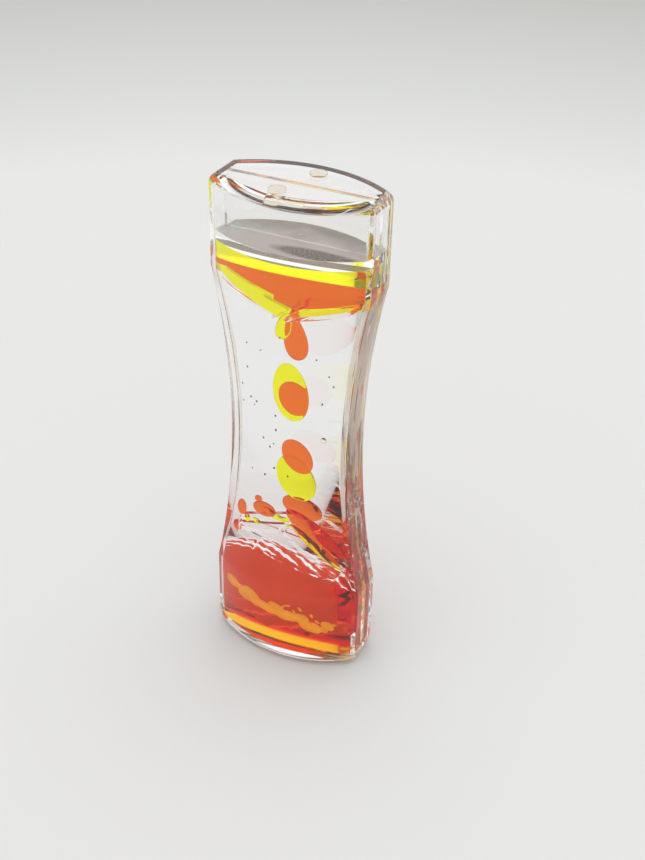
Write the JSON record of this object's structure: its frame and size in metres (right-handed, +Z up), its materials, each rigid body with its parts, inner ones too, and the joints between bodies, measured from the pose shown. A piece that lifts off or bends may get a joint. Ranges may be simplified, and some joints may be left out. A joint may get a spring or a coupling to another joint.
{
  "type": "liquid motion timer",
  "caption": "Clear waisted table timer: two sealed oil chambers side by side, each with a funnel, a ramp roof and coloured drops that fall to a pool.",
  "frame": {"origin": "centre of the flat base, on the surface it stands on", "axes": "+Z up along the height, X across the wide face, -Y out of the front chamber's face"},
  "size_m": [0.0424, 0.0252, 0.135],
  "materials": {
    "clear_body": "clear polished moulded plastic",
    "divider": "clear polished plastic sheet",
    "ramp": "clear moulded plastic",
    "plug": "clear plastic with a trace of glue",
    "clear_oil": "clear mineral oil",
    "yellow_liquid": "dyed liquid, clear and bright",
    "orange_liquid": "dyed liquid, clear and bright"
  },
  "bodies": {
    "housing": {"front_shell": "clear_body", "rear_shell": "clear_body", "centre_divider": "divider", "front_left_funnel_ramp": "ramp", "front_left_roof_ramp": "ramp", "front_right_funnel_ramp": "ramp", "front_right_roof_ramp": "ramp", "rear_left_funnel_ramp": "ramp", "rear_left_roof_ramp": "ramp", "rear_right_funnel_ramp": "ramp", "rear_right_roof_ramp": "ramp", "front_fill_plug": "plug", "rear_fill_plug": "plug", "front_oil": "clear_oil", "rear_oil": "clear_oil", "front_top_oil": "clear_oil", "rear_top_oil": "clear_oil", "front_upper_pool": "yellow_liquid", "front_lower_pool": "yellow_liquid", "front_hanging_drop": "yellow_liquid", "front_roof_bead": "yellow_liquid", "front_roof_film": "yellow_liquid", "rear_upper_pool": "orange_liquid", "rear_lower_pool": "orange_liquid", "rear_hanging_drop": "orange_liquid", "rear_roof_bead": "orange_liquid", "rear_roof_slide": "orange_liquid"},
    "front_drop_1": {"front_drop_1": "yellow_liquid"},
    "front_drop_2": {"front_drop_2": "yellow_liquid"},
    "rear_drop_1": {"rear_drop_1": "orange_liquid"},
    "rear_drop_2": {"rear_drop_2": "orange_liquid"},
    "rear_drop_3": {"rear_drop_3": "orange_liquid"}
  },
  "joints": [
    {"name": "front_drop_1_fall", "type": "slide", "parent": "housing", "child": "front_drop_1", "axis": [0, 0, -1], "range_m": [-0.005, 0.0045]},
    {"name": "front_drop_2_fall", "type": "slide", "parent": "housing", "child": "front_drop_2", "axis": [0, 0, -1], "range_m": [-0.005, 0.0045]},
    {"name": "rear_drop_1_fall", "type": "slide", "parent": "housing", "child": "rear_drop_1", "axis": [0, 0, -1], "range_m": [-0.003, 0.0008]},
    {"name": "rear_drop_2_fall", "type": "slide", "parent": "housing", "child": "rear_drop_2", "axis": [0, 0, -1], "range_m": [-0.003, 0.0008]},
    {"name": "rear_drop_3_fall", "type": "slide", "parent": "housing", "child": "rear_drop_3", "axis": [0, 0, -1], "range_m": [-0.003, 0.0008]}
  ],
  "couplings": [
    {"joint": "front_drop_1_fall", "follows": "front_drop_2_fall", "ratio": 1},
    {"joint": "rear_drop_1_fall", "follows": "rear_drop_3_fall", "ratio": 1},
    {"joint": "rear_drop_2_fall", "follows": "rear_drop_3_fall", "ratio": 1}
  ]
}
